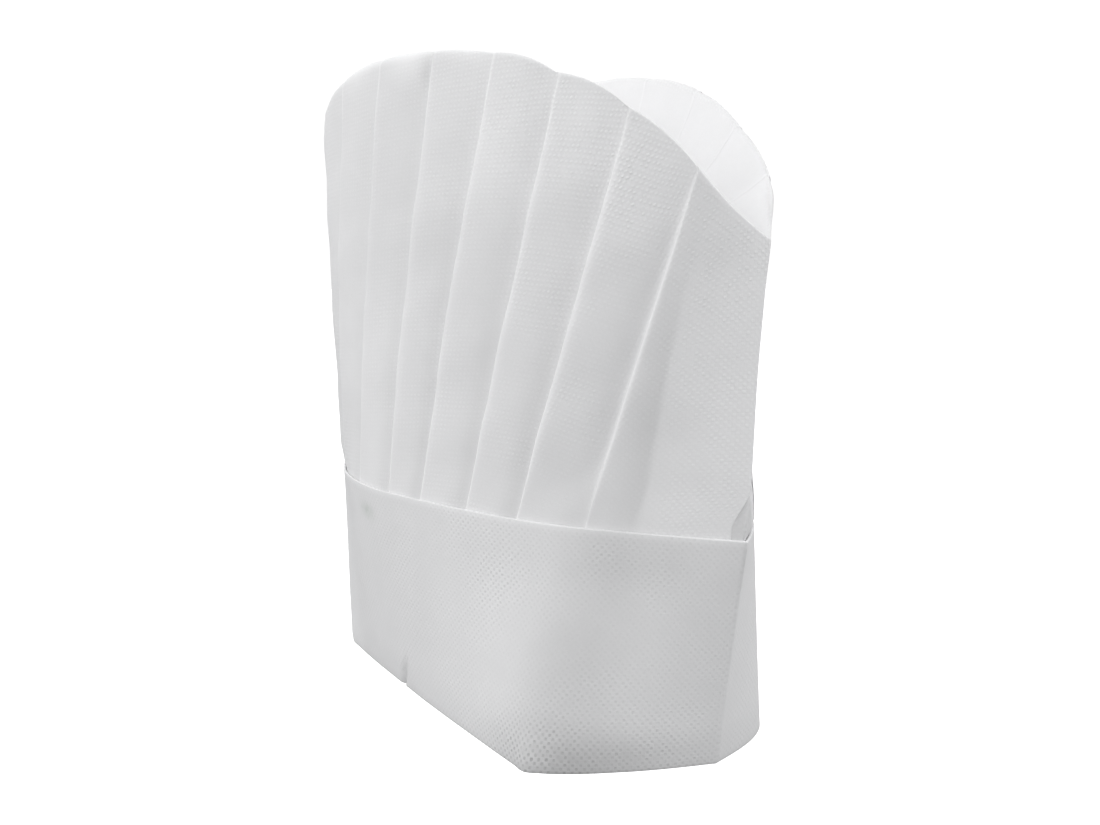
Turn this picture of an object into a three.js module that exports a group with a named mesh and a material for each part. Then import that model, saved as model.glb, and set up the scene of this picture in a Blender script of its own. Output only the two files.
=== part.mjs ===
// Disposable pleated chef hat of embossed nonwoven cloth, standing open on its own rim.
// Two pleated crown halves meet at the side seams. Each rises from inside the headband, rolls
// over at its arched top edge and runs down inwards to a gather in the middle of the hat.
// Millimetres, +Z up. The rim rests on z = 0, and the origin is below the middle of the hat. The
// front half faces -Y, and the side seam at its right-hand end, seen from outside, points at +X.

import * as THREE from "three";

const BAND_HEIGHT = 75;
const BAND_WALL = 1.4;
const CROWN_WALL = 1.2;
const GAP = 0.4; // kept between the crown and the band
const SEAM_GAP = 0.7; // kept between the crown halves along their seams
const TUCK_BOTTOM = 50; // the crown's lower edge, hidden inside the band
const PLEAT_STEP = 1.1; // how far the folded edge of a pleat stands over the next panel
const PLEAT_DROP = 0.056; // share of a panel in which the cloth drops behind a folded edge
const ROLL_RADIUS = 3; // of the cloth where it turns over at the top edge
const GATHER_HEIGHT = 163;
const GATHER_RADIUS = 5; // the opening left where the pleats draw together
const SINK = 0.7; // share of the way out from the middle where the turned-in cloth bottoms out
const MIDDLE = { x: -3.7, y: -0.5 }; // of the hat's width and depth, from the gather
const CLOTH_WHITE = "#eceef0";

// Turns rows of numbers into rows with named columns.
function table(columns, rows) {
  const names = columns.split(" ");
  return rows.map((row) => Object.fromEntries(names.map((name, i) => [name, row[i]])));
}

// The tables are measured from the gather. Each half is read from its own right-hand seam, seen
// from outside. A band row is a section of the band: its share of the half's length, its place
// at the hem and at the band's top.
const BAND_COLUMNS = "share hemX hemY topX topY";
const FRONT_BAND = table(BAND_COLUMNS, [
  [0, 118, 0, 130, 0],
  [0.1, 106, -28, 107, -17],
  [0.195, 91, -49.5, 83.5, -32],
  [0.2125, 87.5, -53, 79, -34.5],
  [0.235, 81, -53, 73, -37],
  [0.35, 49, -52, 42, -46.5],
  [0.45, 20, -50, 14, -52],
  [0.55, -9, -48, -14, -55],
  [0.65, -37, -44.5, -43, -50.5],
  [0.77, -70, -35, -75, -36],
  [0.88, -99, -20, -103, -18.5],
  [1, -128, -3, -130, 0],
]);
const BACK_BAND = table(BAND_COLUMNS, [
  [0, -128, -3, -130, 0],
  [0.125, -100, 20, -101, 21],
  [0.25, -68, 36, -68, 37],
  [0.375, -34, 46, -34, 46],
  [0.5, 2, 52, 2, 50],
  [0.625, 38, 54, 38, 49],
  [0.75, 73, 50, 73, 42],
  [0.875, 104, 33, 105, 26],
  [1, 118, 0, 130, 0],
]);

// A crown row is one fold: the right-hand seam, the ten pleat edges, the left-hand seam. It
// gives the share of the half where the fold leaves the band and its place at the top edge.
const CROWN_COLUMNS = "share topX topY topZ";
const FRONT_CROWN = table(CROWN_COLUMNS, [
  [0, 125, 12, 166],
  [0.181, 114, -8, 187],
  [0.272, 93.5, -18, 206],
  [0.354, 67.5, -26, 218],
  [0.439, 41.5, -34, 228],
  [0.507, 14, -41.5, 231],
  [0.595, -12, -48.5, 231],
  [0.68, -38, -50, 226.5],
  [0.763, -65, -46, 219],
  [0.843, -93, -34, 205.5],
  [0.92, -117, -21, 186],
  [1, -138, -8, 166],
]);
const BACK_CROWN = table(CROWN_COLUMNS, [
  [0, -138, -8, 166],
  [0.181, -127, 12, 186],
  [0.272, -111, 29, 206],
  [0.354, -87, 42.5, 218],
  [0.439, -61, 49, 228],
  [0.507, -33, 50.5, 231],
  [0.595, -6, 50.5, 232],
  [0.68, 24, 51, 229.5],
  [0.763, 53, 50, 221],
  [0.843, 80, 43, 205],
  [0.92, 105, 30, 185.5],
  [1, 125, 12, 166],
]);

const FRONT = { band: FRONT_BAND, crown: FRONT_CROWN };
const BACK = { band: BACK_BAND, crown: BACK_CROWN };
const LAST_FOLD = FRONT_CROWN.length - 1;

// Smooth curve through the rows' values, with the rows placed along it by their keys.
function through(keys, values, at) {
  const last = keys.length - 1;
  const rise = (i) => (values[i + 1] - values[i]) / (keys[i + 1] - keys[i]);
  const slope = (i) => {
    if (i === 0) return 1.5 * rise(0) - 0.5 * slope(1);
    if (i === last) return 1.5 * rise(last - 1) - 0.5 * slope(last - 1);
    const before = keys[i] - keys[i - 1];
    const after = keys[i + 1] - keys[i];
    return (rise(i - 1) * after + rise(i) * before) / (before + after);
  };
  let k = 0;
  while (k < last - 1 && at > keys[k + 1]) k += 1;
  const span = keys[k + 1] - keys[k];
  const t = (at - keys[k]) / span;
  const start = 2 * t ** 3 - 3 * t ** 2 + 1;
  const leave = (t ** 3 - 2 * t ** 2 + t) * span;
  const arrive = (t ** 3 - t ** 2) * span;
  return start * values[k] + (1 - start) * values[k + 1] + leave * slope(k) + arrive * slope(k + 1);
}

function bandValue(half, name, share) {
  return through(half.band.map((row) => row.share), half.band.map((row) => row[name]), share);
}

function crownValue(half, name, fold) {
  return through(half.crown.map((row, i) => i), half.crown.map((row) => row[name]), fold);
}

// A point of the band's outer surface.
function bandPoint(half, share, z) {
  const rise = z / BAND_HEIGHT;
  const x = THREE.MathUtils.lerp(bandValue(half, "hemX", share), bandValue(half, "topX", share), rise);
  const y = THREE.MathUtils.lerp(bandValue(half, "hemY", share), bandValue(half, "topY", share), rise);
  return new THREE.Vector3(x, y, z);
}

// The offset that keeps a unit distance from both of two faces that meet at a seam.
function mitre(normalA, normalB) {
  return normalA.clone().add(normalB).divideScalar(1 + normalA.dot(normalB));
}

function otherHalf(half) {
  return half === FRONT ? BACK : FRONT;
}

// Level outward direction of the band, mitred where the halves meet.
function bandOutward(half, share, z) {
  const step = 0.01;
  const level = (owner, at) => {
    const ahead = bandPoint(owner, Math.min(at + step, 1), z);
    const behind = bandPoint(owner, Math.max(at - step, 0), z);
    return new THREE.Vector3(behind.y - ahead.y, ahead.x - behind.x, 0).normalize();
  };
  const own = level(half, share);
  if (share > 0 && share < 1) return own;
  return mitre(own, level(otherHalf(half), 1 - share));
}

// Places along a half, in folds: each panel runs from one pleat edge to the next.
function panelStations() {
  const stations = [0];
  for (let fold = 0; fold < LAST_FOLD; fold += 1) {
    const start = fold === 0 ? 0 : fold + PLEAT_DROP;
    const pieces = fold === 0 ? 6 : 3;
    if (fold > 0) stations.push(start);
    for (let i = 1; i <= pieces; i += 1) {
      stations.push(start + ((fold + 1 - start) * i) / pieces);
    }
  }
  return stations;
}

// How deep the cloth lies under the pleat edges: a panel climbs to the edge at its far end.
function pleatDepth(station) {
  const fold = Math.min(Math.floor(station), LAST_FOLD - 1);
  const along = station - fold;
  if (station === 0 || station === LAST_FOLD) return PLEAT_STEP / 2;
  if (fold === 0) return (PLEAT_STEP / 2) * (1 - along);
  if (along === 0) return 0;
  const deepest = PLEAT_STEP * (1 - (along - PLEAT_DROP) / (1 - PLEAT_DROP));
  return fold === LAST_FOLD - 1 ? Math.max(deepest, PLEAT_STEP / 2) : deepest;
}

// Rows of the cloth from its hidden lower edge to the gather.
const CLOTH_ROWS = [
  ...[TUCK_BOTTOM, (TUCK_BOTTOM + BAND_HEIGHT) / 2].map((z) => ({ part: "tuck", z })),
  ...[0, 0.25, 0.5, 0.75, 1].map((rise) => ({ part: "wall", rise })),
  ...[1 / 3, 2 / 3, 1].map((turn) => ({ part: "roll", turn })),
  ...[0.15, 0.35, 0.55, 0.75, 0.9, 1].map((run) => ({ part: "top", run })),
];

// A point of the cloth where every pleat edge is flush with it.
function clothPoint(half, station, row) {
  const share = THREE.MathUtils.clamp(crownValue(half, "share", station), 0, 1);
  const insideBand = (z) =>
    bandPoint(half, share, z).addScaledVector(bandOutward(half, share, z), -(BAND_WALL + GAP));
  if (row.part === "tuck") return insideBand(row.z);

  const edge = new THREE.Vector3(
    crownValue(half, "topX", station),
    crownValue(half, "topY", station),
    crownValue(half, "topZ", station) - ROLL_RADIUS,
  );
  if (row.part === "wall") return insideBand(BAND_HEIGHT).lerp(edge, row.rise);

  const inward = new THREE.Vector3(-edge.x, -edge.y, 0).normalize();
  const rolled = (angle) =>
    edge
      .clone()
      .addScaledVector(inward, ROLL_RADIUS * (1 - Math.cos(angle)))
      .add(new THREE.Vector3(0, 0, ROLL_RADIUS * Math.sin(angle)));
  const bend = new THREE.Vector3(edge.x * SINK, edge.y * SINK, GATHER_HEIGHT);
  let turned = Math.PI / 2;
  for (let round = 0; round < 4; round += 1) {
    const ahead = bend.clone().sub(rolled(turned));
    turned = Math.PI / 2 + Math.atan2(-ahead.z, ahead.dot(inward));
  }
  if (row.part === "roll") return rolled(turned * row.turn);

  const start = rolled(turned);
  const gather = inward.clone().multiplyScalar(-GATHER_RADIUS).setZ(GATHER_HEIGHT);
  return new THREE.QuadraticBezierCurve3(start, bend, gather).getPoint(row.run);
}

function clothGrid(half, stations) {
  return stations.map((station) => CLOTH_ROWS.map((row) => clothPoint(half, station, row)));
}

// Outward direction of the cloth at a place in its grid.
function gridNormal(grid, i, j) {
  const along = grid[Math.min(i + 1, grid.length - 1)][j].clone().sub(grid[Math.max(i - 1, 0)][j]);
  const up = grid[i][Math.min(j + 1, grid[i].length - 1)].clone().sub(grid[i][Math.max(j - 1, 0)]);
  return up.cross(along).normalize();
}

// A closed sheet of cloth: faces[i][j] holds the outer and the inner point of column i, row j.
// A looped sheet joins its last column to its first.
function sheetGeometry(faces, looped) {
  const columns = faces.length;
  const rows = faces[0].length;
  const positions = [];
  for (const side of ["outer", "inner"]) {
    for (const column of faces) {
      for (const point of column) positions.push(...point[side].toArray());
    }
  }
  const index = (side, i, j) => (side * columns + (i % columns)) * rows + j;
  const triangles = [];
  const quad = (a, b, c, d) => triangles.push(a, b, c, a, c, d);
  const spans = looped ? columns : columns - 1;
  for (let i = 0; i < spans; i += 1) {
    for (let j = 0; j < rows - 1; j += 1) {
      quad(index(0, i, j), index(0, i, j + 1), index(0, i + 1, j + 1), index(0, i + 1, j));
      quad(index(1, i, j), index(1, i + 1, j), index(1, i + 1, j + 1), index(1, i, j + 1));
    }
    const top = rows - 1;
    quad(index(0, i, 0), index(0, i + 1, 0), index(1, i + 1, 0), index(1, i, 0));
    quad(index(0, i, top), index(1, i, top), index(1, i + 1, top), index(0, i + 1, top));
  }
  if (!looped) {
    const end = columns - 1;
    for (let j = 0; j < rows - 1; j += 1) {
      quad(index(0, 0, j), index(1, 0, j), index(1, 0, j + 1), index(0, 0, j + 1));
      quad(index(0, end, j), index(0, end, j + 1), index(1, end, j + 1), index(1, end, j));
    }
  }
  const geometry = new THREE.BufferGeometry();
  geometry.setAttribute("position", new THREE.Float32BufferAttribute(positions, 3));
  geometry.setIndex(triangles);
  geometry.computeVertexNormals();
  return geometry;
}

function cloth(name, geometry, roughness) {
  const material = new THREE.MeshStandardMaterial({ color: CLOTH_WHITE, roughness, metalness: 0 });
  material.side = THREE.FrontSide;
  const mesh = new THREE.Mesh(geometry, material);
  mesh.name = name;
  return mesh;
}

// One half of the crown, from its tucked lower edge to the gather.
function crownHalf(half, name) {
  const stations = panelStations();
  const grid = clothGrid(half, stations);
  const otherGrid = clothGrid(otherHalf(half), stations);
  const end = stations.length - 1;
  const faces = stations.map((station, i) =>
    CLOTH_ROWS.map((row, j) => {
      const fade = row.part === "top" ? 1 - row.run : 1;
      const depth = pleatDepth(station) * fade;
      const point = grid[i][j].clone();
      let outward = gridNormal(grid, i, j);
      if (i === 0 || i === end) {
        outward = mitre(outward, gridNormal(otherGrid, end - i, j));
        const bisector = outward.clone().normalize();
        const seamLine = grid[i][Math.min(j + 1, grid[i].length - 1)]
          .clone()
          .sub(grid[i][Math.max(j - 1, 0)])
          .normalize();
        const away = grid[i === 0 ? 1 : end - 1][j].clone().sub(point);
        away.addScaledVector(seamLine, -away.dot(seamLine));
        away.addScaledVector(bisector, -away.dot(bisector));
        point.addScaledVector(away.normalize(), SEAM_GAP / 2);
      }
      return {
        outer: point.clone().addScaledVector(outward, -depth),
        inner: point.clone().addScaledVector(outward, -(depth + CROWN_WALL)),
      };
    }),
  );
  return cloth(name, sheetGeometry(faces, false), 0.9);
}

// The band is one closed loop, as deep as its two folded layers.
function headband() {
  const levels = [0, TUCK_BOTTOM / 2, TUCK_BOTTOM, BAND_HEIGHT];
  const corner = [0.16, 0.195, 0.2125, 0.235, 0.255];
  const faces = [];
  for (const half of [FRONT, BACK]) {
    const underFolds = panelStations().map((station) => crownValue(half, "share", station));
    const extra = half === FRONT ? corner : [];
    const shares = [...underFolds.filter((share) => share < 1 - 1e-6), ...extra].sort((a, b) => a - b);
    for (const share of shares) {
      faces.push(
        levels.map((z) => {
          const outer = bandPoint(half, share, z);
          const inner = outer.clone().addScaledVector(bandOutward(half, share, z), -BAND_WALL);
          return { outer, inner };
        }),
      );
    }
  }
  return cloth("headband", sheetGeometry(faces, true), 0.85);
}

const hat = new THREE.Group();
hat.add(headband(), crownHalf(FRONT, "crown_front"), crownHalf(BACK, "crown_back"));
hat.position.set(-MIDDLE.x, -MIDDLE.y, 0);

export default hat;
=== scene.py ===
"""Disposable pleated chef hat of embossed nonwoven cloth, standing open on its rim.

Each crown half is one sheet of cloth laid in knife pleats. It rises out of the doubled headband,
rolls over at the arched top edge and runs down inwards to a gather. Lengths are in millimetres from
the gather, +Z up, with the floor at z = 0. The band is measured round by share, from 0 to 1 in each
half. The crown is measured across by station, which counts its folded edges from one seam to the
other, and up the wall by level, from 0 at the band to 1 at the top edge. Left and right are as the
camera sees them.
"""

import math

import bpy
import numpy as np
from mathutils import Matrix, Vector


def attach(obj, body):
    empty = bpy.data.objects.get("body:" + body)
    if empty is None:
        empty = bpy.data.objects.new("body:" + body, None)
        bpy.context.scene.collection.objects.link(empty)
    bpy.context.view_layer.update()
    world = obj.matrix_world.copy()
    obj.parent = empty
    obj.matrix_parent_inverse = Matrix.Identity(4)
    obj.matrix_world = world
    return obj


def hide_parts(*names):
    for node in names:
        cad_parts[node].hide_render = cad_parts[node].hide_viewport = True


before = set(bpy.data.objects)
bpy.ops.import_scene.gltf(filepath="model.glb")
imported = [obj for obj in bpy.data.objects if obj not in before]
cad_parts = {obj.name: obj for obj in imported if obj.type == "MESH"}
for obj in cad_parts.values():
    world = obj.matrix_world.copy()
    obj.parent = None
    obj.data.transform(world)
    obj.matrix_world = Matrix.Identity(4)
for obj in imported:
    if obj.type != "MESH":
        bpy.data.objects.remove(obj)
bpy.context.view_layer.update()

MM = 0.001
MIDDLE = np.array([-3.7, -0.5, 0.0])  # of the hat's width and depth, from the gather

BAND_HEIGHT = 75.0
BAND_WALL = 1.0  # over both layers of the band
BAND_FOLD = 0.5  # radius of the folded top edge
HEM_TURN = 9.0  # cloth turned up inside the lower edge
HEM_RADIUS = 0.3
INNER_END = 5.0  # where the band's inner layer stops
GAP = 0.1  # between the band and the crown
INSET = BAND_WALL + GAP
TUCK_BOTTOM = 50.0  # the crown's lower edge inside the band
OVER_RIM = 0.9  # how far the crown bulges over the band at its two ends
# Level by which the wall has come out to the band's outer face, at the left-hand seam, and how much
# higher that is elsewhere.
UPRIGHT_LEFT = 0.035
UPRIGHT_HIGHER = 0.2
# A small pinch in the hem of the front half: where it starts and how the crease leans. Its length is
# the front half's way round the band.
PINCH = {"share": 0.494, "lean": -0.03, "height": 16.0, "length": 287.0, "width": 1.0, "depth": 2.0}
# Slight waves of the band: size, length round the band, phase, and height over which they turn.
BAND_WAVES = ((0.25, 96, 0.6, 60), (0.16, 41, 0, 24))
WAVE_OUT = 0.2  # how far out they may stand

LAST_FOLD = 11  # the second seam; the folded edges between the seams are 1 to 10
PLEAT_STEP = 1.8  # how far a folded edge stands over the next panel
STEP_AT_BAND = 0.15  # share of that step where the band presses the pleats flat
PRESSED = 0.05  # share of it left once the cloth has turned in at the top edge
LIP = 0.2  # radius of the fold in the cloth
INNER_LIP = 0.1  # radius of the hidden turn behind it
CLOSED = 2 * LIP + 2 * INNER_LIP
PLEAT_TAKE = 6.0  # cloth hidden behind each folded edge
MEAN_WIDTH = 26.0  # of a panel
OPENING = 0.035  # share of a panel in which it leaves the fold that covers its start
ROUND_OVER = 1.2  # how near its folded edge a panel rounds over
CREASE_DEPTH = 1.9  # of the valley in the wide end panel of the front
HOLLOW_FADE = 0.3  # share of the wall over which a hollow begins above the band
GATHER_HEIGHT = 163.0
GATHER_RADIUS = 4.0
SINK = 0.7  # how far out the top sheet bends down to the gather, as a share of its edge

SEAM_TURN = 5.0  # seam allowance turned inside the hat
SEAM_RADIUS = 0.08
SEAM_GAP = 0.015
SEAM_DEPTH = 0.5  # how far the seams lie inside the folded edges
# By the band the right-hand seam runs round its corner to the front: how far, how much of each end
# panel moves with it, and up to which level.
SEAM_SHIFT = 4.5
SHIFT_REACH = 0.45
SHIFT_TOP = 0.17

LATTICE = (2.44, 2.3)  # repeat of the embossed pattern across and along the cloth

# Detail of the meshes: rows of the cloth by part, columns of a panel and of half the band.
TUCK_ROWS = 5
WALL_ROWS = 62
ROLL_ROWS = 10
TOP_ROWS = 45
PANEL_DETAIL = 30
BAND_DETAIL = 180


def table(fields, rows):
    """Rows of numbers as arrays with named columns."""
    return dict(zip(fields.split(), np.array(rows, float).T))


BAND_FIELDS = "share hemX hemY topX topY"
FRONT_ROWS = [
    [0, 118, 0, 130, 0],
    [0.1, 106, -28, 107, -17],
    [0.195, 91.3, -50.3, 83.5, -32],
    [0.2125, 87.8, -53.6, 79, -34.5],
    [0.235, 81, -53.4, 73, -37],
    [0.35, 49.5, -52, 42, -46.5],
    [0.45, 20, -50.3, 14, -52],
    [0.55, -9, -47.8, -14, -55],
    [0.65, -37.4, -45, -43, -50.5],
    [0.7, -52, -43.1, -56.8, -45.6],
    [0.72, -57.6, -42.3, -62.2, -43.1],
    [0.74, -62.6, -40.4, -67.5, -40.5],
    [0.77, -71, -36.8, -75.3, -36.4],
    [0.88, -99.8, -21.5, -103.3, -18.9],
    [1, -128, -3, -130, 0],
]
HEM_CORNERS = (0.195, 0.235, 0.7, 0.72, 0.74)
FRONT_BAND = table(BAND_FIELDS, FRONT_ROWS)
# The front half again, without the corners in its hem, for the cloth higher up.
SOFT_CORNER = table(BAND_FIELDS, [row for row in FRONT_ROWS if row[0] not in HEM_CORNERS])
SOFT_CORNER["hemX"][2] -= 2.5
SOFT_CORNER["hemY"][2] += 3.5
SOFT_ABOVE = 12.0
FLARE = 0.5  # how much of the front's flare round its corner lies low down
BACK_BAND = table(
    BAND_FIELDS,
    [
        [0, -128, -3, -130, 0],
        [0.125, -100, 20, -101, 21],
        [0.25, -68, 36, -68, 37],
        [0.375, -34, 46, -34, 46],
        [0.5, 2, 52, 2, 50],
        [0.625, 38, 54, 38, 49],
        [0.75, 73, 50, 73, 42],
        [0.875, 104.8, 33, 105.4, 26.2],
        [1, 118, 0, 130, 0],
    ],
)

# Each folded edge of the crown: its share of the band and its place at the top. roll is the radius
# of the turn there, and bow how far the wall sinks in at mid height.
CROWN_FIELDS = "share topX topY topZ roll bow"
FRONT_CROWN = table(
    CROWN_FIELDS,
    [
        [0, 125, 12, 166, 1.2, 0.8],
        [0.181, 114, -8, 187, 1.2, 0.4],
        [0.272, 93.5, -18, 206, 1.3, 0],
        [0.354, 67.5, -26, 218.8, 1.5, 0],
        [0.439, 41.5, -34, 228, 1.5, 0],
        [0.507, 14, -41.5, 232, 2.2, 0],
        [0.595, -12, -48.7, 231.4, 3, -0.1],
        [0.68, -39, -50.7, 227.8, 3.4, -0.6],
        [0.763, -65.8, -46.4, 219.9, 3, -0.8],
        [0.843, -92.6, -33.8, 207.5, 3, -1.3],
        [0.92, -116.4, -20.8, 186, 3, 0],
        [1, -138, -8, 166, 2, 0.1],
    ],
)
BACK_CROWN = table(
    CROWN_FIELDS,
    [
        [0, -138, -8, 166, 2, 0.1],
        [0.181, -127, 12, 186, 2, 0.5],
        [0.272, -111, 29, 206, 2, 0],
        [0.354, -87, 42.5, 218, 2, 0],
        [0.439, -61, 49, 228, 2, 0],
        [0.507, -33, 50.5, 231, 2, 0],
        [0.595, -6, 50.5, 231, 2, 0],
        [0.68, 24, 51, 228.6, 2, 0],
        [0.763, 53, 50, 221, 2, 0],
        [0.843, 80, 43, 205, 1.6, 0],
        [0.92, 106, 30.5, 186.5, 1.4, 1.6],
        [1, 125, 12, 166, 1.2, 0.8],
    ],
)

# Each panel: flat is how straight it runs from fold to fold, from 0 to 1, crest how far its top edge
# rises between them, bulge how far it rounds out, turn how its embossed rows lie in degrees, lean how
# much shade is painted into its lee, and puff how much rounder its top edge is half way.
PANEL_FIELDS = "flat crest bulge turn lean puff"
FRONT_PANELS = table(
    PANEL_FIELDS,
    [
        [0.7, -1.2, 1.8, 8, 0, 0],
        [0.7, 1.2, 3.2, 30, 0.35, 0],
        [0.7, 1.8, 3.2, 41, 0.9, 0.5],
        [0.7, 1.5, 3.2, 47, 0.9, 1.0],
        [0.7, 1.0, 3.0, 50, 0.85, 2.5],
        [0.6, 1.2, 2.6, 50, 0.75, 5.0],
        [0.3, 1.6, 2.0, 48, 0.5, 2.5],
        [0.1, 2.4, 1.0, 45, 0.3, 2.0],
        [0.1, 1.8, 0.7, 42, 0.3, 1.0],
        [0.1, 1.0, 0.8, 40, 0.3, 0],
        [0.1, 0.5, 1.0, 40, 0.3, 0],
    ],
)
BACK_PANELS = table(
    PANEL_FIELDS,
    [
        [0.25, 0.5, 1.5, 40, 0.4, 0],
        [0.25, 0.5, 1.5, 40, 0.4, 0],
        [0.25, 0.5, 1.5, 42, 0.4, 0],
        [0.25, 0.5, 1.5, 45, 0.4, 0],
        [0.25, 0.5, 1.5, 48, 0.4, 0],
        [0.25, 0.5, 1.5, 50, 0.4, 0],
        [0.25, 0.6, 1.5, 50, 0.4, 0],
        [0.25, 0.8, 1.5, 47, 0.4, 0],
        [0.25, 0.9, 1.5, 41, 0.4, 0],
        [0.25, 1.2, 1.5, 30, 0.4, 0],
        [1.0, 3.6, 1.5, 8, 0.4, 0],
    ],
)

# Soft spots on the cloth: their middle, their two half widths and how much.
CROWN_SPOT = "station level wide tall amount"
BAND_SPOT = "share z wide tall amount"
# Where the crown stands out or, below 0, sinks in, in millimetres.
FRONT_SWELL = table(CROWN_SPOT, [[4.5, 0.5, 1.0, 0.3, 0.3]])
BACK_SWELL = table(CROWN_SPOT, [[9.7, 0.08, 1.1, 0.42, -2.2], [10.5, 1.0, 0.4, 0.13, 1.2]])
# Painted shade on the cloth or, below 0, painted highlight.
BAND_SHADE = table(
    BAND_SPOT,
    [
        [0.2, 22, 0.075, 28, 0.6],
        [0.15, 68, 0.045, 13, 1.0],
        [0.16, 34, 0.055, 26, 0.8],
        [0.08, 66, 0.03, 11, 0.6],
        [0.19, 4, 0.1, 9, 1.0],
        [0.17, 4, 0.05, 7, 0.5],
        [0.12, 4, 0.09, 7.5, 1.2],
        [0.66, 50, 0.04, 60, 0.3],
    ],
)
CROWN_SHADE = table(
    CROWN_SPOT,
    [
        [8.2, 0.25, 0.9, 0.3, 0.75],
        [7.0, 0.1, 0.7, 0.2, 0.3],
        [5.5, 1.0, 0.4, 0.035, -0.9],
        [4.5, 1.0, 0.45, 0.012, -0.8],
        [6.6, 1.0, 0.4, 0.03, -0.6],
        [5.1, 0.97, 0.1, 0.03, 0.9],
        [3.6, 0.78, 0.45, 0.2, -0.6],
        [4.8, 0.26, 2.6, 0.2, -0.5],
        [0.5, 0.0, 0.5, 0.06, 0.4],
        [2.6, 0.93, 0.25, 0.05, -0.4],
    ],
)
# Where the embossing is sharpest.
BAND_PRESS = table(
    BAND_SPOT,
    [[0.22, 4, 0.11, 9, 1.1], [0.3, 60, 0.12, 16, 0.5], [0.14, 66, 0.04, 10, 0.3], [0.05, 20, 0.06, 26, 0.3]],
)
CROWN_PRESS = table(
    CROWN_SPOT,
    [[2.2, 0.88, 1.5, 0.2, 0.8], [0.35, 0.75, 0.5, 0.25, 0.45], [4.5, 0.9, 0.8, 0.12, 0.3]],
)
BAND_STAIN = table(BAND_SPOT, [[0.57, 65, 0.019, 2.8, 1.0]])
# Painted shade along the hem's edge, in the hem above it and in the pinch, on the back beside the
# front half's corner, and in the lee of the front's valley.
HEM_EDGE_SHADE = 1.6
HEM_SHADE = 0.35
PINCH_SHADE = 1.4
CORNER_SHADE = 1.3
VALLEY_SHADE = 0.9
FOLD_LINE = 0.9  # width of the painted highlight along the band's top fold and of the painted shade along its hem
TOP_FOLDS = 0.55  # how strong the painted highlight on the pleats' folds is on the top sheet, against 1 on the wall

FRONT = {
    "name": "front",
    "band": FRONT_BAND,
    "crown": FRONT_CROWN,
    **FRONT_PANELS,
    "swell": FRONT_SWELL,
    "edge_step": 0.3,  # share of the pleats' step left at the top edge
    "seed": 3,
}
BACK = {
    "name": "back",
    "band": BACK_BAND,
    "crown": BACK_CROWN,
    **BACK_PANELS,
    "swell": BACK_SWELL,
    "edge_step": 0.25,
    "seed": 8,
}


def other(half):
    return BACK if half is FRONT else FRONT


def through(keys, values, at):
    """Smooth curve through the rows' values, with the rows placed along it by their keys."""
    gap = np.diff(keys)
    rise = np.diff(values) / gap
    slope = np.empty(len(keys))
    slope[1:-1] = (rise[:-1] * gap[1:] + rise[1:] * gap[:-1]) / (gap[1:] + gap[:-1])
    slope[0] = 1.5 * rise[0] - 0.5 * slope[1]
    slope[-1] = 1.5 * rise[-1] - 0.5 * slope[-2]
    k = np.clip(np.searchsorted(keys, at, side="left") - 1, 0, len(gap) - 1)
    t = (at - keys[k]) / gap[k]
    start = 2 * t**3 - 3 * t**2 + 1
    leave = (t**3 - 2 * t**2 + t) * gap[k]
    arrive = (t**3 - t**2) * gap[k]
    return start * values[k] + (1 - start) * values[k + 1] + leave * slope[k] + arrive * slope[k + 1]


def smooth_step(low, high, value):
    """From 0 at low to 1 at high, level at both ends. low may be the greater."""
    t = np.clip((value - low) / (high - low), 0, 1)
    return t * t * (3 - 2 * t)


def spots(rows, across, up):
    """All the soft spots of a table together, at places given as its first two columns are."""
    total = np.zeros(np.broadcast(across, up).shape)
    for middle, level, wide, tall, amount in zip(*rows.values()):
        total = total + amount * np.exp(-(((across - middle) / wide) ** 2) - ((up - level) / tall) ** 2)
    return total


def unit(v):
    return v / np.maximum(np.linalg.norm(v, axis=-1, keepdims=True), 1e-12)


def band_point(half, share, z):
    """A point of the band's outer surface."""
    share, z = np.broadcast_arrays(np.asarray(share, float), np.asarray(z, float))
    rise = z / BAND_HEIGHT
    if half is FRONT:  # around its corner the band flares out low down, under an upright upper part
        flared = FLARE * smooth_step(0.02, 0.12, share) * smooth_step(0.45, 0.3, share)
        rise = rise + flared * (smooth_step(0, 0.85, rise) - rise)
    soft = smooth_step(0, SOFT_ABOVE, z)

    def level(rows, end):
        x = through(rows["share"], rows[end + "X"], share)
        return np.stack([x, through(rows["share"], rows[end + "Y"], share)], axis=-1)

    def at_end(end):
        sharp = level(half["band"], end)
        if half is BACK:
            return sharp
        return sharp + (level(SOFT_CORNER, end) - sharp) * soft[..., None]

    flat = at_end("hem") * (1 - rise)[..., None] + at_end("top") * rise[..., None]
    return np.concatenate([flat, z[..., None]], axis=-1)


def band_outward(half, share, z):
    """Level outward direction of the band, mitred at the two seams."""
    step = 0.01
    mitre = 0.03
    share, z = np.broadcast_arrays(np.asarray(share, float), np.asarray(z, float))

    def level(owner, at):
        d = band_point(owner, np.minimum(at + step, 1), z) - band_point(owner, np.maximum(at - step, 0), z)
        return unit(np.stack([-d[..., 1], d[..., 0], 0 * d[..., 0]], axis=-1))

    own = level(half, share)
    across = level(other(half), 1 - share)
    mitred = (own + across) / (1 + (own * across).sum(-1, keepdims=True))
    near = smooth_step(mitre, 0.0, np.minimum(share, 1 - share))[..., None]
    return own * (1 - near) + mitred * near


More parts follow.
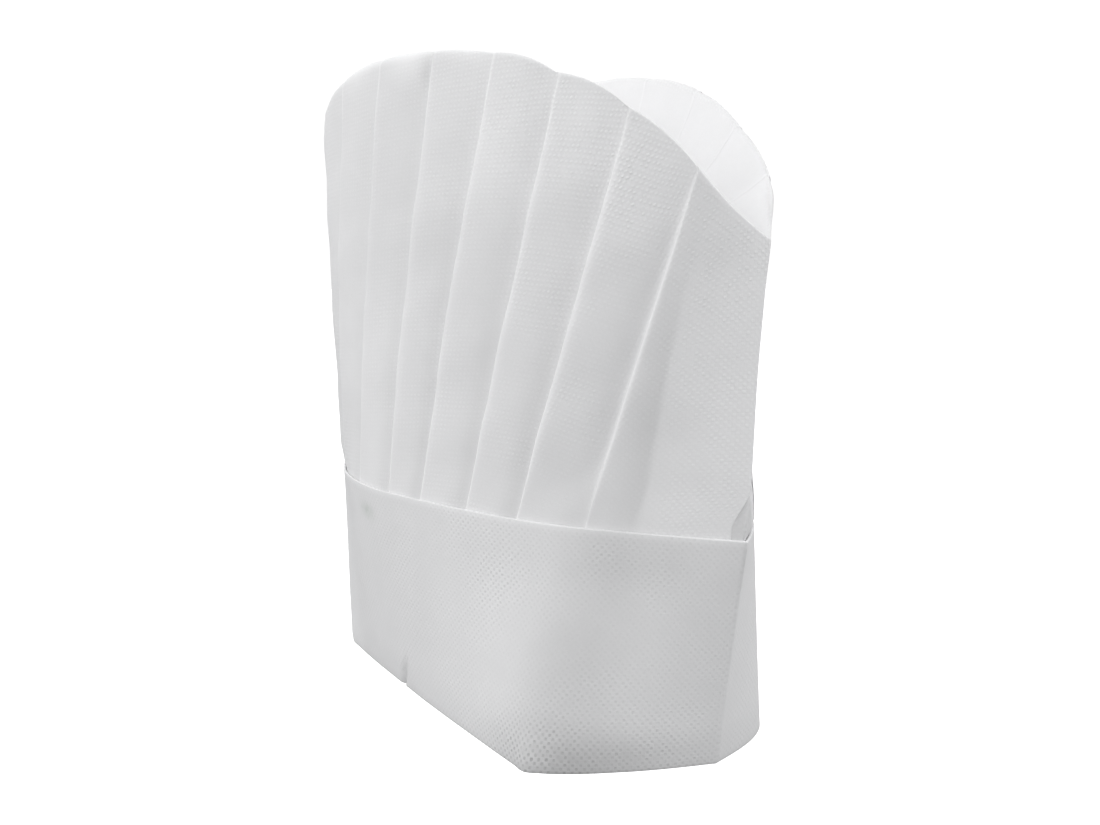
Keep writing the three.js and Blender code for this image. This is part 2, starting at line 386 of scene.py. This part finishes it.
def cloth_rows():
    """Rows of the cloth from its hidden lower edge to the gather, as (part, value)."""
    rows = [("tuck", z) for z in np.linspace(TUCK_BOTTOM, BAND_HEIGHT, TUCK_ROWS + 1)[:-1]]
    rows += [("wall", t) for t in np.linspace(0, 1, WALL_ROWS)]
    rows += [("roll", t) for t in np.linspace(0, 1, ROLL_ROWS + 1)[1:]]
    rows += [("top", t) for t in np.linspace(0, 1, TOP_ROWS + 1)[1:]]
    return rows


ROWS = cloth_rows()
PART = np.array([part for part, _ in ROWS])
VALUE = np.array([value for _, value in ROWS])
TUCK, WALL, ROLL, TOP = (PART == part for part in ("tuck", "wall", "roll", "top"))
LEVEL = np.select([WALL, TUCK, ROLL], [VALUE, -0.1, 1.0], 1.2)[None, :]
RIM_ROW = np.argmax(WALL)
EDGE_ROW = np.argmax(ROLL) - 1
PITCH_ROW = RIM_ROW + 15  # where the panels' width is taken for the width of folds and turns
FOLDS = np.arange(LAST_FOLD + 1.0)


def panel_of(stations):
    return np.clip(np.floor(stations).astype(int), 0, LAST_FOLD - 1)


def from_right_seam(half, stations):
    return (stations if half is FRONT else LAST_FOLD - stations)[:, None]


def from_left_seam(half, stations):
    return (LAST_FOLD - stations if half is FRONT else stations)[:, None]


def rim_inset(half, stations, level):
    """How far inside the band's outer face the wall stands, above the rim.

    It stands over the rim by the left-hand seam, and on the back just behind the right-hand corner.
    """
    from_left = from_left_seam(half, stations)
    upright = UPRIGHT_LEFT + UPRIGHT_HIGHER * smooth_step(2.5, 5.0, from_left)
    over_rim = smooth_step(0, 0.02, level) * smooth_step(0.35, 0.05, level) * smooth_step(5, 3.2, from_left)
    if half is BACK:
        behind_corner = (smooth_step(11, 10.88, stations) * smooth_step(9, 10, stations))[:, None]
        over_rim = over_rim + behind_corner * smooth_step(0, 0.015, level) * smooth_step(0.2, 0.04, level)
    return INSET * (1 - smooth_step(0, 1, level / upright)) - OVER_RIM * over_rim


def cloth_surface(half, stations):
    """The cloth's surface, level with the pleats' folded edges, as an array [station, row, 3]."""
    rows = half["crown"]
    share = np.clip(through(FOLDS, rows["share"], stations), 0, 1)[:, None]
    panel = panel_of(stations)
    t = stations - panel
    radius = (through(FOLDS, rows["roll"], stations) + half["puff"][panel] * 4 * t * (1 - t))[:, None]
    bow = through(FOLDS, rows["bow"], stations)[:, None]
    edge = np.stack([through(FOLDS, rows[c], stations) for c in ("topX", "topY", "topZ")], axis=-1)
    edge[:, 2] -= radius[:, 0]
    inward = unit(edge * np.array([-1, -1, 0]))[:, None, :]
    out = np.empty((len(stations), len(ROWS), 3))

    z = VALUE[TUCK][None, :]
    out[:, TUCK] = band_point(half, share, z) - INSET * band_outward(half, share, z)

    rim = np.array([[BAND_HEIGHT]])
    inset = rim_inset(half, stations, VALUE[WALL][None, :])[..., None]
    start = band_point(half, share, rim) - band_outward(half, share, rim) * inset
    t = VALUE[WALL][None, :, None]
    out[:, WALL] = start * (1 - t) + edge[:, None, :] * t + inward * bow[..., None] * np.sin(math.pi * t)

    def rolled(angle):
        lift = np.zeros(angle.shape + (3,))
        lift[..., 2] = radius * np.sin(angle)
        return edge[:, None, :] + inward * (radius * (1 - np.cos(angle)))[..., None] + lift

    bend = edge * np.array([SINK, SINK, 0]) + np.array([0, 0, GATHER_HEIGHT])
    turned = np.full((len(stations), 1), math.pi / 2)
    for _ in range(4):  # turns until the roll's end points at the bend
        ahead = bend[:, None, :] - rolled(turned)
        turned = math.pi / 2 + np.arctan2(-ahead[..., 2], (ahead * inward).sum(-1))
    out[:, ROLL] = rolled(turned * VALUE[ROLL][None, :])

    t = VALUE[TOP][None, :, None]
    gather = -inward * GATHER_RADIUS + np.array([0, 0, GATHER_HEIGHT])
    out[:, TOP] = rolled(turned) * (1 - t) ** 2 + 2 * bend[:, None, :] * t * (1 - t) + gather * t**2
    return out


def flat_panels(half, stations):
    """The same surface with each panel nearly straight across from fold to fold, above the band."""
    curved = cloth_surface(half, stations)
    folds = cloth_surface(half, FOLDS)
    k = panel_of(stations)
    t = (stations - k)[:, None, None]
    straight = folds[k] * (1 - t) + folds[k + 1] * t
    above_band = np.where(WALL, smooth_step(0, 0.15, VALUE), ~TUCK)
    flatness = half["flat"][k][:, None, None] * above_band[None, :, None]
    chord = np.diff(folds[:, EDGE_ROW], axis=0)[k]
    level = unit(np.stack([chord[:, 1], -chord[:, 0], 0 * chord[:, 0]], axis=-1))
    upward = unit(np.cross(chord, level))
    upward = upward * np.sign(upward[:, 2:])
    rise = upward * (half["crest"][k] * 4 * t[:, 0, 0] * (1 - t[:, 0, 0]))[:, None]
    share = np.select([WALL, ROLL, TOP], [VALUE**2, 1.0, (1 - VALUE) ** 2], 0)
    return curved * (1 - flatness) + straight * flatness + rise[:, None, :] * share[None, :, None]


def surface_normals(half, stations):
    step = 0.04
    a = cloth_surface(half, np.minimum(stations + step, LAST_FOLD))
    b = cloth_surface(half, np.maximum(stations - step, 0))
    middle = cloth_surface(half, stations)
    up = np.empty_like(middle)
    up[:, 1:-1] = middle[:, 2:] - middle[:, :-2]
    up[:, 0] = middle[:, 1] - middle[:, 0]
    up[:, -1] = middle[:, -1] - middle[:, -2]
    return unit(np.cross(up, a - b))


def unfolded(half, stations):
    """Points and normals of the surface, which at both seams turn in along the plane between the halves."""
    points = flat_panels(half, stations)
    normals = surface_normals(half, stations)
    beside = 0.06
    ours = surface_normals(half, np.array([beside, LAST_FOLD - beside]))
    theirs = surface_normals(other(half), np.array([beside, LAST_FOLD - beside]))
    for end, reach in ((0, 0), (LAST_FOLD, 1)):
        between = unit(ours[reach] + theirs[1 - reach])[None]
        near = smooth_step(0.05, 0.01, np.abs(stations - end))[:, None, None]
        normals = unit(normals * (1 - near) + between * near)
    return points, normals


def beside_band(half, stations):
    """The same by the band, where the right-hand seam lies a little to the front of the band's corner."""

    def end_pitch(owner, folds):
        ends = cloth_surface(owner, folds)[:, RIM_ROW]
        return np.linalg.norm(ends[1] - ends[0])

    front_pitch = end_pitch(FRONT, FOLDS[:2])
    if half is FRONT:
        moved = SEAM_SHIFT / front_pitch * np.clip(1 - stations / SHIFT_REACH, 0, 1)
        return unfolded(FRONT, np.minimum(stations + moved, LAST_FOLD))
    back_pitch = end_pitch(BACK, FOLDS[-2:])
    from_seam = LAST_FOLD - stations
    from_corner = from_seam * back_pitch - SEAM_SHIFT * np.clip(1 - from_seam / SHIFT_REACH, 0, 1)
    behind = unfolded(BACK, LAST_FOLD - np.maximum(from_corner, 0) / back_pitch)
    ahead = unfolded(FRONT, np.maximum(-from_corner, 0) / front_pitch)
    return [np.where(from_corner[:, None, None] < 0, a, b) for a, b in zip(ahead, behind)]


def pleat_columns(half):
    """Columns across the cloth, with depth under the folded edges and rounding as a share of the bulge.

    fold marks the columns on a folded edge, where a highlight is painted, and lean those in the lee
    of one, where shade is painted.
    """
    pitch = np.linalg.norm(np.diff(cloth_surface(half, FOLDS)[:, PITCH_ROW], axis=0), axis=-1)
    steps = [SEAM_DEPTH] + [PLEAT_STEP] * (LAST_FOLD - 1)
    seam_start = 0.4  # of the first panel, from its seam
    fold_start = 0.3  # of the others, from the folded edge over them
    columns = []

    def add(station, depth, panel, round_out=0.0, fold=0.0, lean=0.0):
        columns.append((station, depth, panel, round_out, fold, lean))

    def add_panel(first, panel, start, least):
        """From beside one folded edge, where it lies at depth start, out to the next one."""
        length = (panel + 1 - first) * pitch[panel]
        spread = 1 - (1 - np.linspace(0, 1, PANEL_DETAIL)[1:-1]) ** 1.4
        for t in (0, OPENING / 3, 2 * OPENING / 3, *spread):
            open_share = float(smooth_step(0, OPENING, t))
            depth = steps[panel] * (1 - t) * open_share + start * (1 - open_share)
            from_edge = (1 - t) * length
            rounded = (1 - math.exp(-from_edge / ROUND_OVER)) * (1 - (1 - t) ** 2)
            # fold carries the painted highlight by the folded edge, lean the painted shade in its lee.
            fold = float(smooth_step(1.2, 0.3, from_edge))
            lean = 0.5 * (1 - t) + 0.75 * math.exp(-(((t - 0.16) / 0.2) ** 2))
            if least:
                rounded, fold, lean = 0, 0, 0
            elif panel == 0:
                lean = 0
            add(first + (panel + 1 - first) * t, max(depth, least), panel, rounded, fold, lean)

    def seam_turn(end, side, panel):
        """The seam allowance turned in, listed from the panel inwards."""
        pace = pitch[panel]
        seam = end + side * SEAM_GAP / pace
        turn = []
        for a in (1.2, 0.8, 0.4):
            inward = SEAM_RADIUS * (1 - math.sin(a))
            turn.append((seam + side * SEAM_RADIUS * (1 - math.cos(a)) / pace, SEAM_DEPTH + inward, panel))
        return turn + [(seam, SEAM_DEPTH + depth, panel) for depth in (0.6, 1.6, 3.0, SEAM_TURN)]

    for at, depth, panel in reversed(seam_turn(0, 1, 0)):
        add(at, depth, panel)
    add_panel(seam_start / pitch[0], 0, SEAM_DEPTH, 0)
    for k in range(1, LAST_FOLD):
        back = pitch[k - 1]

        def hidden(behind, depth, panel, fold=0.0):
            """A column behind folded edge k, under the panel that ends there."""
            add(k - behind / back, depth + steps[k - 1] * behind / back, panel, 0, fold)

        for angle in np.linspace(0, math.pi, 7):
            hidden(LIP * (1 - math.sin(angle)), LIP * (1 - math.cos(angle)), k - 1, 1)
        for t in (0.35, 0.7):
            hidden(LIP + t * (PLEAT_TAKE - 2 * LIP), 2 * LIP, k - 1)
        for angle in np.linspace(0, math.pi, 5):
            behind = PLEAT_TAKE - INNER_LIP + INNER_LIP * math.sin(angle)
            hidden(behind, 2 * LIP + INNER_LIP * (1 - math.cos(angle)), k)
        for t in (0.35, 0.7):
            hidden((1 - t) * PLEAT_TAKE, CLOSED, k)
        last = k == LAST_FOLD - 1
        add_panel(k - fold_start / back, k, CLOSED, SEAM_DEPTH if last else 0)
    for at, depth, panel in seam_turn(LAST_FOLD, -1, LAST_FOLD - 1):
        add(at, depth, panel)
    return table("station depth panel rounding fold lean", columns)


def ripple(half, across, along):
    """Slight unevenness of the cloth, in millimetres, repeatable for each half."""
    rng = np.random.default_rng(half["seed"])
    total = np.zeros(np.broadcast(across, along).shape)
    for wave, size in ((70, 0.35), (42, 0.22), (26, 0.12), (15, 0.05)):
        for _ in range(3):
            turn, phase = rng.uniform(0, math.pi), rng.uniform(0, 2 * math.pi)
            ahead = across * math.cos(turn) + along * math.sin(turn)
            total = total + size * np.sin(2 * math.pi * ahead / wave + phase)
    return total / 2


def crease_line(level):
    """Station of the valley in the wide end panel of the front half."""
    return 0.64 + 0.18 * np.clip(level, 0, 1)


def end_panel_crease(station):
    """Depth of that valley at each row."""
    line = crease_line(LEVEL)
    toward_fold = (1 - station) / (1 - line)
    toward_seam = station / line
    soft = 12.0
    valley = -np.log(np.exp(-soft * toward_fold) + np.exp(-soft * toward_seam)) / soft
    return CREASE_DEPTH * np.maximum(valley, 0) * smooth_step(1.0, 0.7, LEVEL) * smooth_step(-0.1, 0.2, LEVEL)


def step_share(half, stations):
    """Share of the pleats' step that shows at each station and row."""
    at_edge = half["edge_step"]
    opens_over = 0.12 + 0.25 * smooth_step(1.5, 0.5, from_right_seam(half, stations))
    step = STEP_AT_BAND + (1 - STEP_AT_BAND) * smooth_step(0, 1, LEVEL / opens_over)
    step = np.where(WALL, step * (1 - (1 - at_edge) * smooth_step(0.85, 1, VALUE)), step)
    step = np.where(ROLL, at_edge + (PRESSED - at_edge) * smooth_step(0, 0.8, VALUE), step)
    return np.where(TOP, PRESSED, step)


def cloth_depth(half, columns, along):
    """How far each point lies inside the unfolded surface. along is its way up the cloth."""
    stations = columns["station"]
    panel = columns["panel"].astype(int)
    near_seam = smooth_step(0.6, 0.1, from_right_seam(half, stations))
    level_seam = SEAM_DEPTH * near_seam * smooth_step(0.6, 0.25, LEVEL)
    full = smooth_step(1.0, 0.7, LEVEL) * smooth_step(-0.02, 0.45, LEVEL)
    depth = (columns["depth"][:, None] - level_seam) * step_share(half, stations)
    depth = depth - (columns["rounding"] * half["bulge"][panel])[:, None] * full
    if half is FRONT:
        depth = depth + end_panel_crease(stations[:, None])
    clear = smooth_step(0, 0.6, np.minimum(stations, LAST_FOLD - stations))[:, None]
    loose = np.select([TUCK, TOP], [0.0, 1 - VALUE], 1.0)[None, :] * smooth_step(-0.02, 0.25, LEVEL)
    depth = depth - ripple(half, stations[:, None] * MEAN_WIDTH + 0 * along, along) * loose * clear
    swell = spots(half["swell"], stations[:, None], LEVEL)
    return depth - swell * clear * smooth_step(0, HOLLOW_FADE, LEVEL) * ~TOP[None, :]


def crown_marks(half, columns, width):
    """Marks for the material: painted highlight on folded edges, painted shade and light, and the embossing's
    depth.
    """
    stations = columns["station"][:, None]
    panel = columns["panel"].astype(int)
    lean = (columns["lean"] * half["lean"][panel])[:, None]
    # Painted shade in the lee of each folded edge, stronger near the band.
    shade = lean * (0.45 + 0.55 * smooth_step(0.7, 0.25, LEVEL)) * smooth_step(1.0, 0.65, LEVEL)
    if half is BACK:  # beside the front half, above the band's corner
        # Painted shade on the back beside the front half's corner, where the cloth lies in shadow.
        near_corner = smooth_step(0.8, 0.3, LAST_FOLD - stations) * smooth_step(SHIFT_TOP, 0.08, LEVEL)
        shade = shade + CORNER_SHADE * near_corner
    else:
        # Painted shade in the lee of the front's valley, then the painted shade and highlight spots.
        beside = (stations - crease_line(LEVEL)) * width[:, :1]
        lee = smooth_step(-1.2, 1.2, beside) * smooth_step(14, 1, beside) * (stations < 1)
        shade = shade + VALLEY_SHADE * lee * smooth_step(0.85, 0.45, LEVEL) * smooth_step(-0.1, 0.1, LEVEL)
        shade = shade + spots(CROWN_SHADE, stations, LEVEL)
    # Painted highlight along the folded edges, weaker on the top sheet.
    fold = columns["fold"][:, None] * np.where(TOP, TOP_FOLDS, 1.0)[None, :]
    press = spots(CROWN_PRESS, stations, LEVEL) - TOP[None, :]
    return {"fold": fold, "shade": shade, "press": press}


def crown_mesh(half):
    """Points, cloth coordinates and marks of one crown half."""
    columns = pleat_columns(half)
    stations = columns["station"]
    panel = columns["panel"].astype(int)
    low = smooth_step(SHIFT_TOP, 0.03, LEVEL)[..., None]
    upper, lower = unfolded(half, stations), beside_band(half, stations)
    points = upper[0] * (1 - low) + lower[0] * low
    normals = unit(upper[1] * (1 - low) + lower[1] * low)
    runs = np.cumsum(np.linalg.norm(np.diff(points, axis=1), axis=-1), axis=1)
    along = np.concatenate([np.zeros((len(stations), 1)), runs], axis=1)
    width = np.linalg.norm(np.diff(cloth_surface(half, FOLDS), axis=0), axis=-1)[panel]
    across = (stations - panel - 0.5)[:, None] * width
    points = points - normals * cloth_depth(half, columns, along)[..., None]
    turn = np.radians(half["turn"][panel])[:, None]
    turned_across = across * np.cos(turn) - along * np.sin(turn)
    uv = np.stack([turned_across, across * np.sin(turn) + along * np.cos(turn)], axis=-1)
    return (points - MIDDLE) * MM, uv, crown_marks(half, columns, width)


def grid_object(name, points, uv, marks, closed=False):
    """A sheet of quads over points[i, j] with its cloth coordinates in millimetres.

    marks holds one named number for each point, such as how near it lies to a fold.
    """
    count, rows = points.shape[:2]
    index = np.arange(count * rows).reshape(count, rows)
    after = np.roll(index, -1, axis=0) if closed else index[1:]
    before = index if closed else index[:-1]
    quads = np.stack([before[:, :-1], before[:, 1:], after[:, 1:], after[:, :-1]], axis=-1).reshape(-1, 4)
    mesh = bpy.data.meshes.new(name)
    mesh.from_pydata(points.reshape(-1, 3).tolist(), [], quads.tolist())
    layer = mesh.uv_layers.new(name="cloth")
    flat = uv.reshape(-1, 2)[quads.reshape(-1)]
    if closed:  # the last column's quads run past the seam
        last = flat.reshape(-1, 4, 2)[-(rows - 1) :]
        last[:, 2:, 0] += uv[-1, 0, 0] + (uv[-1, 0, 0] - uv[-2, 0, 0])
    layer.data.foreach_set("uv", (flat * MM * 10).reshape(-1))
    for mark, values in marks.items():
        attribute = mesh.attributes.new(mark, "FLOAT", "POINT")
        attribute.data.foreach_set("value", np.ascontiguousarray(values, dtype=np.float32).reshape(-1))
    mesh.polygons.foreach_set("use_smooth", [True] * len(mesh.polygons))
    mesh.update()
    obj = bpy.data.objects.new(name, mesh)
    bpy.context.scene.collection.objects.link(obj)
    return obj


def band_section():
    """The band's strip from its turned-up hem to its inner end, as (depth from the outer face, z)."""
    top = BAND_HEIGHT - BAND_FOLD
    section = [(2 * HEM_RADIUS, z) for z in (HEM_TURN, HEM_TURN - 2, 4.0, 1.5)]
    for a in np.linspace(0, math.pi, 9):
        depth = HEM_RADIUS * (1 + math.cos(a))
        section.append((depth, HEM_RADIUS - math.sqrt(max(HEM_RADIUS**2 - (depth - HEM_RADIUS) ** 2, 0))))
    section += [(0.0, z) for z in np.linspace(1.2, top, 40)]
    for a in np.linspace(0, math.pi, 9)[1:]:
        section.append((BAND_FOLD - BAND_FOLD * math.cos(a), top + BAND_FOLD * math.sin(a)))
    section += [(BAND_WALL, z) for z in np.linspace(top - 2, INNER_END, 24)]
    return np.array(section)


def band_object():
    """The band: one strip folded over at its top edge, with the lower edge turned up inside."""
    section = band_section()
    depth, height = section[None, :, 0], section[None, :, 1]
    hem_row = 4
    sides = [(half, share) for half in (FRONT, BACK) for share in np.linspace(0, 1, BAND_DETAIL + 1)[:-1]]
    points = np.array([band_point(half, share, section[:, 1]) for half, share in sides])
    outward = np.array([band_outward(half, share, section[:, 1]) for half, share in sides])
    share = np.array([at + (half is BACK) for half, at in sides])[:, None]
    paces = np.linalg.norm(np.diff(points[:, hem_row, :2], axis=0), axis=-1)
    run = np.concatenate([[0], np.cumsum(paces)])[:, None]

    wave = sum(
        size * np.sin(2 * math.pi * run / length + phase + height / turns)
        for size, length, phase, turns in BAND_WAVES
    )
    wave = wave * smooth_step(0, 20, height) * smooth_step(BAND_HEIGHT, BAND_HEIGHT - 20, height)
    line = PINCH["share"] + PINCH["lean"] * (height - PINCH["height"]) / PINCH["height"]
    beside = (share - line) * PINCH["length"]
    pinched = np.exp(-((beside / PINCH["width"]) ** 2)) * smooth_step(PINCH["height"], 4, height)
    points = points - outward * (depth + np.maximum(wave, -WAVE_OUT) + PINCH["depth"] * pinched)[..., None]

    cloth = np.concatenate([[0], np.cumsum(np.linalg.norm(np.diff(section, axis=0), axis=-1))])
    uv = np.stack([run + 0 * cloth[None, :], 0 * run + cloth[None, :]], axis=-1)
    # Painted shade along the hem's edge, towards the band's bottom, in the pinch and in the BAND_SHADE spots.
    hem_shade = HEM_EDGE_SHADE * np.exp(-height / FOLD_LINE) + HEM_SHADE * smooth_step(16, 3, height)
    shade = hem_shade + PINCH_SHADE * pinched
    marks = {
        # Painted highlight along the band's folded top edge.
        "fold": np.exp(-np.abs(BAND_HEIGHT - height) / FOLD_LINE) + 0 * run,
        "shade": shade + spots(BAND_SHADE, share, height),
        "press": spots(BAND_PRESS, share, height),
        "stain": spots(BAND_STAIN, share, height),
    }
    return grid_object("headband_cloth", (points - MIDDLE) * MM, uv, marks, closed=True)


def cloth_material(name, tint, raised, contrast, depth, stained=False):
    """White spunbond nonwoven with a diagonal lattice of embossed points.

    raised is 1 where the points stand up and look lighter, and -1 where they are pressed in. contrast
    is how much they change the colour, and depth how far they stand, in metres. A stained cloth has a
    small grey-green spot. The fold and shade marks paint highlights and shade into the colour.
    """
    material = bpy.data.materials.new(name)
    material.use_nodes = True
    nodes, links = material.node_tree.nodes, material.node_tree.links
    shader = nodes["Principled BSDF"]
    shader.inputs["Roughness"].default_value = 0.85
    shader.inputs["Specular IOR Level"].default_value = 0.25
    shader.inputs["Sheen Weight"].default_value = 0.1
    shader.inputs["Sheen Roughness"].default_value = 0.6

    def put(socket, value):
        """Sets a socket to a number or colour, or links it to another node's output."""
        if isinstance(value, (int, float, tuple)):
            socket.default_value = value
        else:
            links.new(value, socket)

    def math_node(kind, *values):
        node = nodes.new("ShaderNodeMath")
        node.operation = kind
        for socket, value in zip(node.inputs, values):
            put(socket, value)
        return node.outputs[0]

    def spread(value, low, high, to_low, to_high, kind="LINEAR"):
        node = nodes.new("ShaderNodeMapRange")
        node.interpolation_type = kind
        ends = {"From Min": low, "From Max": high, "To Min": to_low, "To Max": to_high}
        for socket, number in ends.items():
            node.inputs[socket].default_value = number
        links.new(value, node.inputs["Value"])
        return node.outputs["Result"]

    place = nodes.new("ShaderNodeTexCoord")

    def noise(scale, detail, rough=0.5):
        node = nodes.new("ShaderNodeTexNoise")
        node.inputs["Scale"].default_value = scale
        node.inputs["Detail"].default_value = detail
        node.inputs["Roughness"].default_value = rough
        links.new(place.outputs["Object"], node.inputs["Vector"])
        return node.outputs["Fac"]

    def mark(name):
        node = nodes.new("ShaderNodeAttribute")
        node.attribute_name = name
        return node.outputs["Fac"]

    def darkened(factor, a, b):
        node = nodes.new("ShaderNodeMix")
        node.data_type = "RGBA"
        node.blend_type = "MULTIPLY"
        for socket, value in (("Factor", factor), ("A", a), ("B", b)):
            put(node.inputs[socket], value)
        return node.outputs["Result"]

    # Embossed points on a slightly uneven lattice. Cloth coordinates are in hundredths of a metre.
    coordinates = nodes.new("ShaderNodeUVMap")
    coordinates.uv_map = "cloth"
    split = nodes.new("ShaderNodeSeparateXYZ")
    links.new(coordinates.outputs[0], split.inputs[0])
    pulled_x = math_node("MULTIPLY_ADD", noise(90, 2), 0.012, split.outputs[0])
    pulled_y = math_node("MULTIPLY_ADD", noise(75, 2), 0.012, split.outputs[1])
    wave_x = math_node("COSINE", math_node("MULTIPLY", pulled_x, 2 * math.pi / (LATTICE[0] * MM * 10)))
    wave_y = math_node("COSINE", math_node("MULTIPLY", pulled_y, 2 * math.pi / (LATTICE[1] * MM * 10)))
    point = spread(math_node("MULTIPLY", wave_x, wave_y), -0.05, 0.8, 0, 1, "SMOOTHSTEP")

    fibre = noise(1400, 2, 0.6)
    cloud = noise(60, 4, 0.6)
    sharp = math_node("ADD", spread(noise(30, 3), 0.4, 0.64, 0.1, 0.6), mark("press"))
    uneven = spread(noise(420, 2), 0.3, 0.7, 0.15, 1.35)
    sharp = math_node("MULTIPLY", math_node("MAXIMUM", sharp, 0.04), uneven)
    printed = math_node("MULTIPLY", math_node("SUBTRACT", point, 0.35), sharp)

    shade = math_node("MULTIPLY_ADD", cloud, 0.07, 0.965)
    shade = math_node("MULTIPLY_ADD", printed, raised * contrast, shade)
    shade = math_node("MULTIPLY_ADD", fibre, 0.05, math_node("SUBTRACT", shade, 0.025))
    # Painted highlight from the fold mark, and painted shade from the shade mark, which paints highlight
    # below 0.
    shade = math_node("MULTIPLY_ADD", mark("fold"), 0.08, shade)
    shade = math_node("MULTIPLY_ADD", mark("shade"), -0.12, shade)
    grey = nodes.new("ShaderNodeCombineColor")
    for socket in grey.inputs:
        links.new(shade, socket)
    colour = darkened(1.0, (*tint, 1), grey.outputs[0])
    if stained:
        ragged = math_node("MULTIPLY", spread(noise(500, 2), 0.3, 0.7, 0.6, 1.3), mark("stain"))
        colour = darkened(ragged, colour, (0.84, 0.87, 0.84, 1))
    links.new(colour, shader.inputs["Base Color"])

    height = math_node("MULTIPLY_ADD", printed, raised, math_node("MULTIPLY", fibre, 0.35))
    bump = nodes.new("ShaderNodeBump")
    bump.inputs["Strength"].default_value = 1.0
    bump.inputs["Distance"].default_value = depth
    links.new(height, bump.inputs["Height"])
    links.new(bump.outputs[0], shader.inputs["Normal"])
    return material


ROOT = "root"
crown_cloth = cloth_material("crown_nonwoven", (0.903, 0.901, 0.906), 1, 0.08, 0.0001)
band_cloth = cloth_material("band_nonwoven", (0.868, 0.866, 0.871), -1, 0.12, 0.00011, stained=True)

band = band_object()
band.data.materials.append(band_cloth)
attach(band, ROOT)
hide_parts("headband")

for half in (FRONT, BACK):
    points, uv, marks = crown_mesh(half)
    crown = grid_object(f"crown_{half['name']}_cloth", points, uv, marks)
    crown.data.materials.append(crown_cloth)
    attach(crown, ROOT)
    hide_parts(f"crown_{half['name']}")


def floor_object(half_width):
    corners = [(-1, -1), (1, -1), (1, 1), (-1, 1)]
    mesh = bpy.data.meshes.new("floor")
    mesh.from_pydata([(half_width * x, half_width * y, 0) for x, y in corners], [], [(0, 1, 2, 3)])
    material = bpy.data.materials.new("floor_white")
    material.use_nodes = True
    shader = material.node_tree.nodes["Principled BSDF"]
    shader.inputs["Base Color"].default_value = (0.9, 0.9, 0.9, 1)
    shader.inputs["Roughness"].default_value = 0.9
    shader.inputs["Specular IOR Level"].default_value = 0.0
    shader.inputs["Emission Color"].default_value = (1, 1, 1, 1)
    shader.inputs["Emission Strength"].default_value = 1.0
    mesh.materials.append(material)
    obj = bpy.data.objects.new("floor", mesh)
    bpy.context.scene.collection.objects.link(obj)
    obj.visible_diffuse = False
    obj.visible_glossy = False
    return obj


floor = floor_object(6.0)

CAMERA_AT = np.array([373.2, -244.6, 158.7])
CAMERA_TURN = 54.84
CAMERA_PITCH = 7.432
camera_data = bpy.data.cameras.new("camera")
camera_data.sensor_width = 36.0
camera_data.lens = 37.64
camera_data.clip_start = 0.01
camera_data.clip_end = 50
camera = bpy.data.objects.new("camera", camera_data)
camera.location = Vector((CAMERA_AT - MIDDLE) * MM)
camera.rotation_euler = (math.radians(90 - CAMERA_PITCH), 0, math.radians(CAMERA_TURN))
bpy.context.scene.collection.objects.link(camera)
bpy.context.scene.camera = camera

LIGHT_DISTANCE = 1.8
LIGHT_AIM = Vector((0, 0, 0.12))
LIGHTS = (  # name, azimuth from the front and elevation in degrees, width, power
    ("left_light", -50, 20, 1.2, 6.2),
    ("front_light", 5, 25, 1.2, 8.1),
    ("fill_light", 30, 30, 1.2, 4.2),
    ("right_light", 130, 25, 1.2, 13.4),
    ("back_light", -110, 40, 1.2, 7.5),
    ("top_light", 0, 88, 1.4, 8),
)


def soft_light(name, azimuth, elevation, width, power):
    a, e = math.radians(azimuth), math.radians(elevation)
    toward = Vector((math.sin(a) * math.cos(e), -math.cos(a) * math.cos(e), math.sin(e)))
    data = bpy.data.lights.new(name, "AREA")
    data.shape = "RECTANGLE"
    data.size, data.size_y = width, width
    data.energy = power
    light = bpy.data.objects.new(name, data)
    light.location = LIGHT_DISTANCE * toward
    light.rotation_euler = (LIGHT_AIM - light.location).to_track_quat("-Z", "Y").to_euler()
    bpy.context.scene.collection.objects.link(light)
    light.visible_camera = False


for light in LIGHTS:
    soft_light(*light)

world = bpy.data.worlds.new("studio")
bpy.context.scene.world = world
world.use_nodes = True
nodes, links = world.node_tree.nodes, world.node_tree.links
background = nodes["Background"]
background.inputs["Color"].default_value = (0.5, 0.505, 0.51, 1)
background.inputs["Strength"].default_value = 0.65
seen = nodes.new("ShaderNodeBackground")
seen.inputs["Color"].default_value = (1, 1, 1, 1)
seen.inputs["Strength"].default_value = 1.05
path = nodes.new("ShaderNodeLightPath")
mix = nodes.new("ShaderNodeMixShader")
links.new(path.outputs["Is Camera Ray"], mix.inputs[0])
links.new(background.outputs[0], mix.inputs[1])
links.new(seen.outputs[0], mix.inputs[2])
links.new(mix.outputs[0], nodes["World Output"].inputs[0])

bpy.context.scene.view_settings.view_transform = "Standard"
